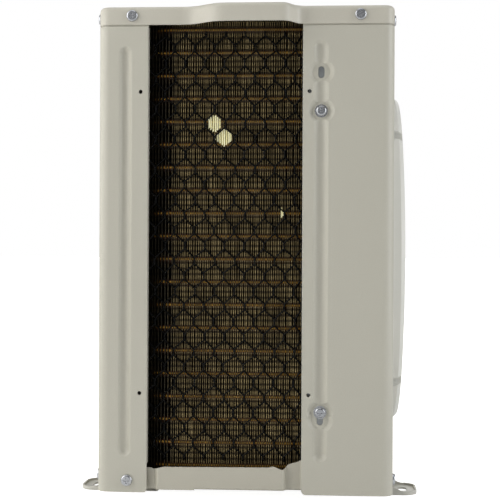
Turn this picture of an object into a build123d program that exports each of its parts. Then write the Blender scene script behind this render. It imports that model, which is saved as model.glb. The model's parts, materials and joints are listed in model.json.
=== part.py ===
from build123d import *
import os
from math import sin, cos, tan, radians, pi, sqrt

os.makedirs("parts", exist_ok=True)

# ---------------------------------------------------------------- driving dimensions (mm)
W = 780.0            # cabinet width (X)
DEP = 322.0          # cabinet depth (Y), fan faces -Y
HX, HY = W / 2, DEP / 2
Z_PANEL0, Z_PANEL1 = 11.0, 518.2     # lower and upper edge of the wrap panels
Z_LID0, Z_LID1 = 519.7, 540.0        # lid skirt
T = 1.2              # sheet thickness
R_CORNER = 12.0      # plan radius of the cabinet corners
Z_PAN0, Z_PAN1 = 14.0, 40.5          # base pan skirt
Z_FLOOR = Z_PAN0 + T                 # top of the pan floor
X_SPLIT = 152.6      # joint line between fan section and service section
FAN_X, FAN_Z = -95.0, 266.0          # fan axis (along Y)
R_GRILLE = 213.0
TUBE_PITCH = 25.4    # evaporator row pitch
TUBE_R = 4.76
Z_TUBE0 = 35.4       # lowest tube of the outer row
COIL_Z0, COIL_Z1 = 22.7, 530.7
COIL_T = 44.0        # coil depth, two rows
COIL_X0 = -367.0     # outer face of the left leg
COIL_Y1 = 143.0      # outer face of the rear leg
COIL_BEND_R = 61.0
COIL_YF = -80.0      # front end of the left leg
COIL_XR = 130.0      # right end of the rear leg
FOOT_X = 300.0       # rail centre lines
FOOT_Y = 176.0       # slot centres
WATER_Y = 72.0
WATER_Z_IN, WATER_Z_OUT = 95.0, 372.0


def save(bp, name):
    bp.part.label = name
    export_step(bp.part, "parts/" + name + ".step")


def rrect(w, h, r):
    return RectangleRounded(w, h, r)


def ring_panel(x0, x1, y0, y1, z0, z1, inset=0.0, t=T):
    """Piece of the rounded cabinet wall inside the given box."""
    with BuildPart() as p:
        with BuildSketch(Plane.XY.offset(z0)):
            RectangleRounded(W - 2 * inset, DEP - 2 * inset, R_CORNER - inset)
            RectangleRounded(W - 2 * inset - 2 * t, DEP - 2 * inset - 2 * t,
                             max(R_CORNER - inset - t, 1.0), mode=Mode.SUBTRACT)
        extrude(amount=z1 - z0)
        with Locations(((x0 + x1) / 2, (y0 + y1) / 2, (z0 + z1) / 2)):
            Box(x1 - x0, y1 - y0, z1 - z0, mode=Mode.INTERSECT)
    return p.part


def box(x0, x1, y0, y1, z0, z1):
    return Pos((x0 + x1) / 2, (y0 + y1) / 2, (z0 + z1) / 2) * Box(
        x1 - x0, y1 - y0, z1 - z0, mode=Mode.PRIVATE)


def cyl(axis, c0, c1, a, b, r):
    """Cylinder along axis from c0 to c1; (a, b) are the two other coordinates in XYZ order."""
    h = c1 - c0
    m = (c0 + c1) / 2
    if axis == "X":
        return Pos(m, a, b) * Rot(0, 90, 0) * Cylinder(r, h, mode=Mode.PRIVATE)
    if axis == "Y":
        return Pos(a, m, b) * Rot(90, 0, 0) * Cylinder(r, h, mode=Mode.PRIVATE)
    return Pos(a, b, m) * Cylinder(r, h, mode=Mode.PRIVATE)


def frus(axis, c0, c1, a, b, r0, r1):
    """Cone frustum, r0 at c0 and r1 at c1."""
    h = c1 - c0
    m = (c0 + c1) / 2
    if axis == "X":
        return Pos(m, a, b) * Rot(0, 90, 0) * Cone(r0, r1, h, mode=Mode.PRIVATE)
    if axis == "Y":
        return Pos(a, m, b) * Rot(-90, 0, 0) * Cone(r0, r1, h, mode=Mode.PRIVATE)
    return Pos(a, b, m) * Cone(r0, r1, h, mode=Mode.PRIVATE)


def slot_x(x0, x1, y, z, wid, hgt):
    """Upright slot cutter through a wall whose normal is X."""
    s = box(x0, x1, y - wid / 2, y + wid / 2, z - (hgt - wid) / 2, z + (hgt - wid) / 2)
    s = s + cyl("X", x0, x1, y, z - (hgt - wid) / 2, wid / 2)
    s = s + cyl("X", x0, x1, y, z + (hgt - wid) / 2, wid / 2)
    return s


def fuse(*shapes):
    out = shapes[0]
    for s in shapes[1:]:
        out = out + s
    return out


# direction helpers for screws: outward normal of each face
DIRS = {"-X": Rot(0, -90, 0), "+X": Rot(0, 90, 0), "-Y": Rot(90, 0, 0), "+Y": Rot(-90, 0, 0),
        "+Z": Rot(0, 0, 0), "-Z": Rot(180, 0, 0)}


def screw_local(head_r, head_h, shank_r, shank_l, washer_r=0.0):
    """Pan head with cross recess; seat at z=0, head towards +Z."""
    base = 1.0 if washer_r else 0.0
    with BuildPart() as s:
        with BuildSketch(Plane.XY.offset(base)):
            Circle(head_r)
        extrude(amount=head_h)
        fillet(s.faces().sort_by(Axis.Z)[-1].edges(), head_h * 0.7)
        if washer_r:
            with BuildSketch(Plane.XY):
                Circle(washer_r)
            extrude(amount=base)
        with BuildSketch(Plane.XY):
            Circle(shank_r)
        extrude(amount=-shank_l)
        with BuildSketch(Plane.XY.offset(base + head_h)):
            Rectangle(head_r * 1.05, head_r * 0.24)
            Rectangle(head_r * 0.24, head_r * 1.05)
        extrude(amount=-head_h * 0.5, mode=Mode.SUBTRACT)
    return s.part


def screws(name, spots, head_r=5.8, head_h=2.8, shank_r=2.0, shank_l=7.0, washer_r=0.0):
    """One node: a group of separate identical screws. spots = [(dir, x, y, z), ...]"""
    proto = screw_local(head_r, head_h, shank_r, shank_l, washer_r)
    items = [Pos(x, y, z) * DIRS[d] * proto for d, x, y, z in spots]
    with BuildPart() as g:
        add(items)
    save(g, name)


def holes(spots, r=2.1, depth=9.0, proud=1.0):
    """Clearance cutters for the screw spots."""
    out = []
    for d, x, y, z in spots:
        c = Pos(x, y, z) * DIRS[d] * (Pos(0, 0, (proud - depth) / 2) * Cylinder(r, depth + proud, mode=Mode.PRIVATE))
        out.append(c)
    return out


# ---------------------------------------------------------------- fastener positions
Z_LS = 529.6
LID_SCREWS = ([("-X", -HX, 124.0, Z_LS), ("-X", -HX, -124.0, Z_LS),
               ("+X", HX, 124.0, Z_LS), ("+X", HX, -124.0, Z_LS)]
              + [("-Y", x, -HY, Z_LS) for x in (-350.0, -95.0, 250.0)]
              + [("+Y", x, HY, Z_LS) for x in (-368.0, 250.0)])
LOW_SCREWS = ([("-X", -HX, 128.0, 24.0)]
              + [("-Y", x, -HY, 26.5) for x in (-372.0, -95.0, 120.0, 185.0, 360.0)]
              + [("+Y", x, HY, 26.5) for x in (-368.0, 185.0, 360.0)]
              + [("+X", HX, y, 26.0) for y in (-124.0, -60.0, 60.0, 124.0)])
CH_Y = -82.0
COIL_SCREWS = [("-X", -HX + 4.0, CH_Y, 426.0), ("-X", -HX + 4.0, CH_Y, 100.0)]
ACC = [(114.3, 447.0), (114.3, 119.0), (-69.4, 447.0), (-69.4, 119.0)]   # accessory holes, left end
GR_A = [45, 135, 225, 315]
GRILLE_SCREWS = [("-Y", FAN_X + 207.5 * cos(radians(a)), -HY - 3.0, FAN_Z + 207.5 * sin(radians(a))) for a in GR_A]

# ---------------------------------------------------------------- base pan
def apron_strip(dx0, dx1, y0, y1, z0, z1):
    """Strip that follows the swelling outline of the left apron; dx is measured inward from the outline."""
    xi, xw = -HX + 6.5, -HX + T
    pts = [(xw, 119.0), (xw, 114.0), (xi, 107.0), (xi, 99.5), (-HX, 92.5), (-HX, -41.0), (xi, -48.0), (xi, -60.0), (xw, -66.5), (xw, -71.0)]

    def chain(dx, back=False):
        q = [(x + dx, y) for x, y in pts]
        seq = list(zip(q[:-1], q[1:]))
        for a, b in seq:
            if abs(a[0] - b[0]) < 1e-6:
                Line(a, b)
            else:
                Spline(a, b, tangents=((0, -1), (0, -1)))
        return q[0], q[-1]
    with BuildPart() as p:
        with BuildSketch(Plane.XY.offset(z0)):
            with BuildLine():
                a0, a1 = chain(dx0)
                if dx1 is None:
                    Polyline(a1, (-HX + 13.0, a1[1]), (-HX + 13.0, a0[1]), a0)
                else:
                    b0, b1 = chain(dx1)
                    Line(a0, b0)
                    Line(a1, b1)
            make_face()
        extrude(amount=z1 - z0)
        add(box(-HX - 2, -HX + 20, y0, y1, z0 - 1, z1 + 1), mode=Mode.INTERSECT)
    return p.part


with BuildPart() as apron_top:
    # upper edge of the left apron: dips in the two valleys and climbs beside the front return
    with BuildSketch(Plane.YZ.offset(-HX - 3)):
        with BuildLine():
            Polyline((119.0, 60.0), (119.0, 39.0), (108.0, 37.3), (102.0, 37.1))
            Spline((102.0, 37.1), (98.5, 35.9), (94.5, 37.3), (88.0, 38.9), (80.0, 39.1))
            Line((80.0, 39.1), (-28.0, 40.1))
            Spline((-28.0, 40.1), (-36.0, 39.7), (-42.2, 37.8), (-47.0, 41.6), (-53.0, 44.2), (-56.5, 45.0), (-60.5, 47.2))
            Polyline((-60.5, 47.2), (-72.0, 47.2), (-72.0, 60.0), (119.0, 60.0))
        make_face()
    extrude(amount=20.0)

with BuildPart() as base_pan:
    with BuildSketch(Plane.XY.offset(Z_PAN0)):
        RectangleRounded(W - 2 * T, DEP - 2 * T, R_CORNER - T)
    extrude(amount=Z_PAN1 - Z_PAN0)
    with BuildSketch(Plane.XY.offset(Z_FLOOR)):
        RectangleRounded(W - 4 * T, DEP - 4 * T, R_CORNER - 2 * T)
    extrude(amount=Z_PAN1 - Z_FLOOR + 1, mode=Mode.SUBTRACT)
    # left end: the skirt swells outward between two valleys, over a stepped floor edge
    add(box(-HX - 1, -HX + 12.5, -70.0, 118.0, Z_PAN0 - 1, Z_PAN1 + 1), mode=Mode.SUBTRACT)
    add(apron_strip(0.0, 1.3, -70.0, 118.0, 16.2, 50.0) - apron_top.part)
    add(apron_strip(0.0, 1.3, 54.0, 118.0, 14.2, 17.0))
    add(apron_strip(0.8, None, -70.0, 118.0, 15.1, 16.8))
    add(box(-HX + 11.5, -HX + 13.0, -70.0, 118.0, Z_PAN0, 16.8))
    # flush centre apron on the rear
    add(box(-345.0, X_SPLIT - 6.0, HY - T - 0.4, HY, Z_PAN0, Z_PAN1))
    # pressed drain gutter ribs on the floor
    for yy in (-100.0, -40.0):
        add(box(-290.0, 120.0, yy - 6.0, yy + 6.0, Z_FLOOR - 0.3, Z_FLOOR + 3.0))
    add(box(-372.0, 140.0, 86.0, 90.0, Z_FLOOR - 0.3, Z_FLOOR + 4.0))
    # drain hole
    add(cyl("Z", 10.0, 20.0, -100.0, 118.0, 9.05), mode=Mode.SUBTRACT)
    # small vent slots in the floor under the compressor side
    for xx in (345.0, 360.0, 372.0):
        add(box(xx - 2.0, xx + 2.0, -120.0, -60.0, 10.0, 18.0), mode=Mode.SUBTRACT)
    add(holes(LOW_SCREWS, r=2.1), mode=Mode.SUBTRACT)
save(base_pan, "base_pan")


# ---------------------------------------------------------------- foot rails
def foot_rail(xc, name):
    hw, L = 27.5, 191.8
    with BuildPart() as f:
        with BuildSketch(Plane.XY):
            RectangleRounded(2 * hw, 2 * L, 16.0)
        extrude(amount=Z_PAN0)
        with BuildSketch(Plane.XY.offset(2.0)):
            RectangleRounded(2 * hw - 4.0, 2 * L - 4.0, 14.0)
        extrude(amount=Z_PAN0, mode=Mode.SUBTRACT)
        # rim sweeps down outside the cabinet
        for s in (1, -1):
            with BuildSketch(Plane.YZ.offset(-hw - 2)):
                with BuildLine():
                    Polyline((s * 150.0, 15.0), (s * 150.0, 10.2), (s * 162.0, 9.8))
                    Spline((s * 162.0, 9.8), (s * 167.5, 7.8), (s * 173.0, 5.0), (s * 180.0, 4.2))
                    Polyline((s * 180.0, 4.2), (s * 196.0, 4.2), (s * 196.0, 15.0), (s * 150.0, 15.0))
                make_face()
            extrude(amount=2 * hw + 4, mode=Mode.SUBTRACT)
        # long arch between the two foot pads
        with BuildSketch(Plane.YZ.offset(-hw - 2)):
            with BuildLine():
                Polyline((-104.0, -1.0), (-104.0, 0.0))
                Spline((-104.0, 0.0), (-100.0, 2.5), (-95.0, 4.5), tangents=((1, 0.1), (1, 0.1)))
                Line((-95.0, 4.5), (95.0, 4.5))
                Spline((95.0, 4.5), (100.0, 2.5), (104.0, 0.0), tangents=((1, -0.1), (1, -0.1)))
                Polyline((104.0, 0.0), (104.0, -1.0), (-104.0, -1.0))
            make_face()
        extrude(amount=2 * hw + 4, mode=Mode.SUBTRACT)
        # inturned top lips that carry the pan
        add(box(-hw + 1.0, -hw + 12.0, -149.0, 149.0, Z_PAN0 - 2.0, Z_PAN0))
        add(box(hw - 12.0, hw - 1.0, -149.0, 149.0, Z_PAN0 - 2.0, Z_PAN0))
        for s in (1, -1):
            with BuildSketch(Plane.XY.offset(-1)):
                with Locations((0, s * FOOT_Y)):
                    SlotOverall(20.0, 10.0)
            extrude(amount=4, mode=Mode.SUBTRACT)
    with BuildPart() as g:
        add(Pos(xc, 0, 0) * f.part)
    save(g, name)


foot_rail(-FOOT_X, "foot_rail_left")
foot_rail(FOOT_X, "foot_rail_right")


# ---------------------------------------------------------------- pressed bead helpers (left end face)
def bead_tools(y, z0, z1, w, d):
    """(add, cut) for a rounded groove pressed inward on the face x = -HX."""
    R = (w * w / 4 + d * d) / (2 * d)
    xc = -HX - (R - d)
    lo, hi = z0 + w / 2, z1 - w / 2
    keep = box(-HX + 0.3, -HX + 30, y - 40, y + 40, z0 - 30, z1 + 30)

    def caps(r):
        c = cyl("Z", lo, hi, xc, y, r)
        c = c + Pos(xc, y, lo) * Sphere(r, mode=Mode.PRIVATE)
        c = c + Pos(xc, y, hi) * Sphere(r, mode=Mode.PRIVATE)
        return c
    return caps(R + T) & keep, caps(R)


RIM = 2.0            # soft edge round the pressed beads


def on_face(e, y, dy):
    """True for an edge of a pressed bead that lies in the outer face of the left end."""
    b = e.bounding_box()
    return abs(b.min.X + HX) < 0.02 and abs(b.max.X + HX) < 0.02 and abs(e.center().Y - y) < dy and 38.0 < e.center().Z < 508.0


# ---------------------------------------------------------------- rear left post
pb_add, pb_cut = bead_tools(131.0, 51.0, 496.0, 13.0, 4.0)
post_wall = ring_panel(-HX - 1, -350.0, 106.0, HY + 1, Z_PANEL0, Z_PANEL1)
post_tab = ring_panel(-HX - 1, -350.0, 106.0, HY + 1, Z_PANEL1 - 10, 534.0, inset=T)
with BuildPart() as rear_left_post:
    add(post_wall)
    add(post_tab)
    add(pb_add)
    add(pb_cut, mode=Mode.SUBTRACT)
    rim = [e for e in rear_left_post.edges() if on_face(e, 131.0, 12.0)]
    fillet(rim, RIM)
    # rounded lower corner beside the apron
    add(box(-HX - 1, -HX + T + 0.1, 105.9, 109.5, 10.5, 14.5) - cyl("X", -HX - 2, -HX + T + 1, 109.5, 14.5, 3.5), mode=Mode.SUBTRACT)
    # inner return that stiffens the free edge
    add(box(-HX + T - 0.2, -HX + 9.0, 106.0, 106.0 + T, Z_PAN1 + 2.0, Z_PANEL1 - 1.0))
    for y, z in ACC:
        if y > 0:
            add(cyl("X", -HX - 2, -HX + 4, y, z, 2.1), mode=Mode.SUBTRACT)
    add(holes(LID_SCREWS + LOW_SCREWS), mode=Mode.SUBTRACT)
save(rear_left_post, "rear_left_post")

# ---------------------------------------------------------------- front fan panel with left return
ch_add, ch_cut = bead_tools(CH_Y, 47.0, 502.0, 15.0, 4.0)
lob_add, lob_cut = [], []
for z in (468.0, 426.0, 100.0, 92.0):
    lob_add.append(frus("X", -HX + 0.3, -HX + 4.0 + T, CH_Y, z, 15.0, 10.6))
    lob_cut.append(frus("X", -HX - 1.0, -HX + 4.0, CH_Y, z, 15.0, 9.6))
with BuildPart() as front_fan_panel:
    add(ring_panel(-HX - 1, X_SPLIT - 0.5, -HY - 1, -62.0, Z_PANEL0, Z_PANEL1))
    add(ring_panel(-HX - 1, X_SPLIT - 6.0, -HY - 1, -62.0, Z_PANEL1 - 10, 534.0, inset=T))
    add(ch_add)
    add(lob_add)
    add(ch_cut, mode=Mode.SUBTRACT)
    add(lob_cut, mode=Mode.SUBTRACT)
    rim = [e for e in front_fan_panel.edges() if on_face(e, CH_Y, 17.0)]
    fillet(rim, RIM)
    # return lip at the free edge of the side leaf
    add(box(-HX + T - 0.2, -HX + 8.0, -62.0 - T, -62.0, Z_PAN1 + 8.0, Z_PANEL1 - 1.0))
    # air outlet
    add(cyl("Y", -HY - 3, -HY + 4, FAN_X, FAN_Z, 198.0), mode=Mode.SUBTRACT)
    add(slot_x(-HX - 2, -HX + 8, CH_Y, 468.0, 6.6, 12.8), mode=Mode.SUBTRACT)
    add(slot_x(-HX + 2, -HX + 8, CH_Y, 91.5, 6.6, 11.0), mode=Mode.SUBTRACT)
    add(holes(COIL_SCREWS), mode=Mode.SUBTRACT)
    for y, z in ACC:
        if y < 0:
            add(cyl("X", -HX - 2, -HX + 2.5, y, z, 2.1), mode=Mode.SUBTRACT)
    add(holes(LID_SCREWS + LOW_SCREWS), mode=Mode.SUBTRACT)
    add(holes(GRILLE_SCREWS), mode=Mode.SUBTRACT)
    # rounded corner at the lower inner corner of the side leaf
    add(box(-HX - 1, -HX + T + 0.1, -67.0, -61.9, 10.5, 16.0) - cyl("X", -HX - 2, -HX + T + 1, -67.0, 16.0, 5.0), mode=Mode.SUBTRACT)
save(front_fan_panel, "front_fan_panel")

# ---------------------------------------------------------------- service section panels
CP_X, CP_Z = 272.0, 405.0          # control panel centre
with BuildPart() as front_service_panel:
    add(ring_panel(X_SPLIT, HX + 1, -HY - 1, -100.5, Z_PANEL0, Z_PANEL1))
    add(ring_panel(X_SPLIT + 6, HX + 1, -HY - 1, -100.5, Z_PANEL1 - 10, 534.0, inset=T))
    add(box(CP_X - 56, CP_X + 56, -HY - 2, -HY + 3, CP_Z - 32, CP_Z + 32), mode=Mode.SUBTRACT)
    for i in range(7):
        z = 96.0 + i * 11.0
        add(box(232.0, 312.0, -HY - 2, -HY + 3, z - 2.0, z + 2.0), mode=Mode.SUBTRACT)
    add(holes(LID_SCREWS + LOW_SCREWS), mode=Mode.SUBTRACT)
save(front_service_panel, "front_service_panel")

GA_Y, GA_Z = -38.0, 452.0          # pressure gauge centre
GL_Y, GL_Z = -60.0, 296.0          # cable gland centre
with BuildPart() as right_side_panel:
    add(ring_panel(HX - 8, HX + 1, -100.0, 100.0, Z_PANEL0, Z_PANEL1))
    add(ring_panel(HX - 8, HX + 1, -96.0, 96.0, Z_PANEL1 - 10, 534.0, inset=T))
    for z in (WATER_Z_IN, WATER_Z_OUT):
        add(cyl("X", HX - 4, HX + 3, WATER_Y, z, 27.0), mode=Mode.SUBTRACT)
    add(cyl("X", HX - 4, HX + 3, GA_Y, GA_Z, 21.5), mode=Mode.SUBTRACT)
    add(cyl("X", HX - 4, HX + 3, GL_Y, GL_Z, 8.3), mode=Mode.SUBTRACT)
    add(holes(LOW_SCREWS), mode=Mode.SUBTRACT)
save(right_side_panel, "right_side_panel")

with BuildPart() as rear_service_panel:
    add(ring_panel(X_SPLIT - 6.0, HX + 1, 100.5, HY + 1, Z_PANEL0, Z_PANEL1))
    add(ring_panel(X_SPLIT + 2, HX + 1, 100.5, HY + 1, Z_PANEL1 - 10, 534.0, inset=T))
    for i in range(9):
        z = 90.0 + i * 12.0
        add(box(210.0, 330.0, HY - 3, HY + 2, z - 2.2, z + 2.2), mode=Mode.SUBTRACT)
    add(holes(LID_SCREWS + LOW_SCREWS), mode=Mode.SUBTRACT)
save(rear_service_panel, "rear_service_panel")


# ---------------------------------------------------------------- lid
def lid_sketch(i, z):
    x0, y0, r = -HX + i, HY - i, R_CORNER - i
    b = -411.0 + i
    with BuildSketch(Plane.XY.offset(z)) as s:
        with BuildLine():
            Line((x0, y0 - r), (x0, 70.0))
            Spline((x0, 70.0), (b, 20.0), tangents=((0, -1), (0, -1)))
            Line((b, 20.0), (b, -38.0))
            Spline((b, -38.0), (x0, -66.0), tangents=((0, -1), (0, -1)))
            Line((x0, -66.0), (x0, -y0 + r))
            ThreePointArc((x0, -y0 + r), (x0 + r * (1 - sqrt(0.5)), -y0 + r * (1 - sqrt(0.5))), (x0 + r, -y0))
            Line((x0 + r, -y0), (-x0 - r, -y0))
            ThreePointArc((-x0 - r, -y0), (-x0 - r * (1 - sqrt(0.5)), -y0 + r * (1 - sqrt(0.5))), (-x0, -y0 + r))
            Line((-x0, -y0 + r), (-x0, y0 - r))
            ThreePointArc((-x0, y0 - r), (-x0 - r * (1 - sqrt(0.5)), y0 - r * (1 - sqrt(0.5))), (-x0 - r, y0))
            Line((-x0 - r, y0), (x0 + r, y0))
            ThreePointArc((x0 + r, y0), (x0 + r * (1 - sqrt(0.5)), y0 - r * (1 - sqrt(0.5))), (x0, y0 - r))
        make_face()
    return s.sketch


with BuildPart() as top_lid:
    add(extrude(lid_sketch(0.0, Z_LID0), amount=Z_LID1 - Z_LID0, mode=Mode.PRIVATE))
    top = top_lid.faces().sort_by(Axis.Z)[-1]
    fillet(top.outer_wire().edges(), 5.0)
    add(extrude(lid_sketch(T, Z_LID0 - 1), amount=Z_LID1 - Z_LID0 - 5.0 + 1, mode=Mode.PRIVATE), mode=Mode.SUBTRACT)
    # inner pocket above the skirt
    add(extrude(lid_sketch(5.5, Z_LID1 - 5.0), amount=3.6, mode=Mode.PRIVATE), mode=Mode.SUBTRACT)
    # long shallow stiffening swage on top
    with BuildSketch(Plane.XY.offset(Z_LID1)):
        RectangleRounded(W - 90.0, DEP - 90.0, 18.0)
        RectangleRounded(W - 102.0, DEP - 102.0, 12.0, mode=Mode.SUBTRACT)
    extrude(amount=-0.7, mode=Mode.SUBTRACT)
    add(holes(LID_SCREWS), mode=Mode.SUBTRACT)
save(top_lid, "top_lid")

screws("cabinet_screws", LID_SCREWS + LOW_SCREWS + GRILLE_SCREWS, head_r=6.3, head_h=3.0, shank_l=6.0)
screws("coil_screws", COIL_SCREWS, head_r=5.75, head_h=3.2, shank_l=6.0, washer_r=7.0)

# ---------------------------------------------------------------- evaporator
LB = COIL_BEND_R
bx, by = COIL_X0 + LB, COIL_Y1 - LB       # bend centre (-306, 82)


def l_strip(d0, d1, z0, z1, yf, xr):
    """L-shaped strip between depths d0 and d1 (measured inward from the outer coil face)."""
    ro, ri = LB - d0, LB - d1
    with BuildPart() as p:
        with BuildSketch(Plane.XY.offset(z0)):
            with BuildLine():
                Line((bx - ro, yf), (bx - ro, by))
                ThreePointArc((bx - ro, by), (bx - ro * sqrt(0.5), by + ro * sqrt(0.5)), (bx, by + ro))
                Polyline((bx, by + ro), (xr, by + ro), (xr, by + ri), (bx, by + ri))
                ThreePointArc((bx, by + ri), (bx - ri * sqrt(0.5), by + ri * sqrt(0.5)), (bx - ri, by))
                Polyline((bx - ri, by), (bx - ri, yf), (bx - ro, yf))
            make_face()
        extrude(amount=z1 - z0)
    return p.part


with BuildPart() as evaporator_fin_pack:
    add(l_strip(0.0, COIL_T, COIL_Z0, COIL_Z1, COIL_YF, COIL_XR))
save(evaporator_fin_pack, "evaporator_fin_pack")

with BuildPart() as coil_guard_net:
    add(l_strip(-2.4, -1.2, 42.0, 517.0, -61.0, X_SPLIT - 8.0))
save(coil_guard_net, "coil_guard_net")

Z_OUT = [Z_TUBE0 + TUBE_PITCH * i for i in range(20)]
Z_INN = [48.1 + TUBE_PITCH * i for i in range(18)]
D_OUT, D_INN = 11.0, 33.0

with BuildPart() as tube_sheet_front:
    add(box(-371.0, -319.0, COIL_YF - 1.5, COIL_YF, Z_FLOOR, 532.5))
    add(box(-384.8, -370.0, COIL_YF - 1.5, COIL_YF, Z_FLOOR + 2.0, 516.0))
    add(box(-384.8, -383.3, -100.0, COIL_YF, Z_FLOOR + 2.0, 516.0))
    add(box(-384.8, -383.3, COIL_YF - 0.1, -68.0, Z_FLOOR + 2.0, 516.0))
    add(holes(COIL_SCREWS), mode=Mode.SUBTRACT)
save(tube_sheet_front, "tube_sheet_front")

with BuildPart() as tube_sheet_right:
    add(box(COIL_XR, COIL_XR + 1.5, 95.0, 144.1, Z_FLOOR, 532.5))
    add(box(COIL_XR, X_SPLIT - 0.7, 142.9, 144.1, Z_FLOOR, 532.5))
save(tube_sheet_right, "tube_sheet_right")


def u_bend(p0, p1, out):
    """Half-ring tube joining two points; out = unit vector the bend protrudes along."""
    a, b, o = Vector(*p0), Vector(*p1), Vector(*out)
    m = (a + b) * 0.5
    half = (b - a).length / 2
    d = (b - a).normalized()
    with BuildPart() as u:
        with BuildLine() as path:
            ThreePointArc(a, m + o * half, b)
        with BuildSketch(Plane(origin=a, x_dir=d, z_dir=o)):
            Circle(TUBE_R)
        sweep(path=path.wires()[0])
    return u.part


yF = COIL_YF - 1.5
xo, xi = COIL_X0 + D_OUT, COIL_X0 + D_INN
fb = [u_bend((xo, yF, Z_OUT[i]), (xo, yF, Z_OUT[i + 1]), (0, -1, 0)) for i in range(0, 20, 2)]
fb += [u_bend((xi, yF, Z_INN[i]), (xi, yF, Z_INN[i + 1]), (0, -1, 0)) for i in range(0, 18, 2)]
with BuildPart() as return_bends_front:
    add(fb)
save(return_bends_front, "return_bends_front")
xR = COIL_XR + 1.5
yo, yi = COIL_Y1 - D_OUT, COIL_Y1 - D_INN
rb = [u_bend((xR, yo, Z_OUT[i]), (xR, yo, Z_OUT[i + 1]), (1, 0, 0)) for i in range(1, 19, 2)]
rb += [u_bend((xR, yi, Z_INN[i]), (xR, yi, Z_INN[i + 1]), (1, 0, 0)) for i in range(1, 17, 2)]
rb += [u_bend((xR, yo, Z_OUT[0]), (xR, yi, Z_INN[0]), (1, 0, 0))]
with BuildPart() as return_bends_right:
    add(rb)
save(return_bends_right, "return_bends_right")

# ---------------------------------------------------------------- partition between fan and service sections
with BuildPart() as partition_plate:
    add(box(X_SPLIT - 0.6, X_SPLIT + 0.6, -HY + 2 * T + 0.2, HY - 2 * T - 0.2, Z_FLOOR, 534.5))
    add(box(X_SPLIT - 0.6, X_SPLIT + 4.0, -HY + 2 * T + 14.0, HY - 2 * T - 14.0, Z_FLOOR, Z_FLOOR + T))
    add(cyl("X", X_SPLIT - 3, X_SPLIT + 3, yi, Z_INN[17], 7.5), mode=Mode.SUBTRACT)
    add(cyl("X", X_SPLIT - 3, X_SPLIT + 3, yo, Z_OUT[19], 5.5), mode=Mode.SUBTRACT)
    add(cyl("X", X_SPLIT - 3, X_SPLIT + 3, -60.0, 440.0, 8.0), mode=Mode.SUBTRACT)
save(partition_plate, "partition_plate")

# ---------------------------------------------------------------- fan section
with BuildPart() as fan_orifice_ring:
    with BuildSketch(Plane(origin=(FAN_X, 0, FAN_Z), x_dir=(1, 0, 0), z_dir=(0, 0, 1))):
        with BuildLine():
            Polyline((190.0, -HY + T), (213.0, -HY + T), (213.0, -HY + T + 2.0), (196.0, -HY + T + 2.0))
            Spline((196.0, -HY + T + 2.0), (193.0, -HY + T + 5.0), (192.2, -HY + T + 12.0))
            Polyline((192.2, -HY + T + 12.0), (192.2, -116.0))
            Spline((192.2, -116.0), (194.5, -108.0), (201.0, -104.0))
            Polyline((201.0, -104.0), (200.0, -102.2))
            Spline((200.0, -102.2), (192.4, -107.0), (190.0, -116.0))
            Line((190.0, -116.0), (190.0, -HY + T))
        make_face()
    revolve(axis=Axis((FAN_X, 0, FAN_Z), (0, 1, 0)))
    add(holes([(d, x, -HY + T, z) for d, x, y, z in GRILLE_SCREWS], depth=4.0), mode=Mode.SUBTRACT)
save(fan_orifice_ring, "fan_orifice_ring")


def dome(r):
    return 25.2 - 1.85e-4 * r * r


with BuildPart() as fan_grille:
    with BuildSketch(Plane(origin=(FAN_X, 0, FAN_Z), x_dir=(1, 0, 0), z_dir=(0, 0, 1))):
        with BuildLine():
            Spline((0, -HY - dome(0)), (100.0, -HY - dome(100)), (204.0, -HY - dome(204)), tangents=((1, 0), (1, 0.075)))
            Polyline((204.0, -HY - dome(204)), (208.2, -HY - 13.0), (209.8, -HY - 3.0), (214.0, -HY - 3.0),
                     (214.0, -HY), (200.0, -HY), (200.0, -HY - 13.6))
            Spline((200.0, -HY - 13.6), (100.0, -HY - dome(100) + 4.0), (0, -HY - dome(0) + 4.0), tangents=((-1, -0.075), (-1, 0)))
            Line((0, -HY - dome(0) + 4.0), (0, -HY - dome(0)))
        make_face()
    revolve(axis=Axis((FAN_X, 0, FAN_Z), (0, 1, 0)))
    # clear the screw seats on the flange
    for a in GR_A:
        gx, gz = FAN_X + 207.5 * cos(radians(a)), FAN_Z + 207.5 * sin(radians(a))
        add(cyl("Y", -HY - 30, -HY - 3.0, gx, gz, 7.2), mode=Mode.SUBTRACT)
    with BuildSketch(Plane(origin=(FAN_X, -HY - 40, FAN_Z), x_dir=(1, 0, 0), z_dir=(0, 1, 0))):
        for k in reversed(range(12)):
            r0 = 42.0 + k * 13.0
            Circle(r0 + 9.2)
            Circle(r0, mode=Mode.SUBTRACT)
        for k in range(8):
            with Locations(Rotation(0, 0, 22.5 * k)):
                Rectangle(2 * 204.0, 4.0, mode=Mode.SUBTRACT)
    extrude(amount=39.0, mode=Mode.SUBTRACT)
    add(holes(GRILLE_SCREWS), mode=Mode.SUBTRACT)
save(fan_grille, "fan_grille")

# fan blades: three sections each, trimmed to a cylinder
def blade():
    faces = []
    for r, ch, ang, th in ((30.0, 66.0, 42.0, 5.0), (105.0, 108.0, 30.0, 3.6), (192.0, 150.0, 21.0, 2.6)):
        pl = Plane(origin=(r, 0, 0), x_dir=(0, cos(radians(ang)), sin(radians(ang))), z_dir=(1, 0, 0))
        with BuildSketch(pl) as sk:
            with BuildLine():
                Spline((-ch / 2, 0), (0, th * 1.6 + th / 2), (ch / 2, 0))
                Spline((ch / 2, 0), (0, th * 1.6 - th / 2), (-ch / 2, 0))
            make_face()
        faces.append(sk.sketch)
    return loft(faces, mode=Mode.PRIVATE)


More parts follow.
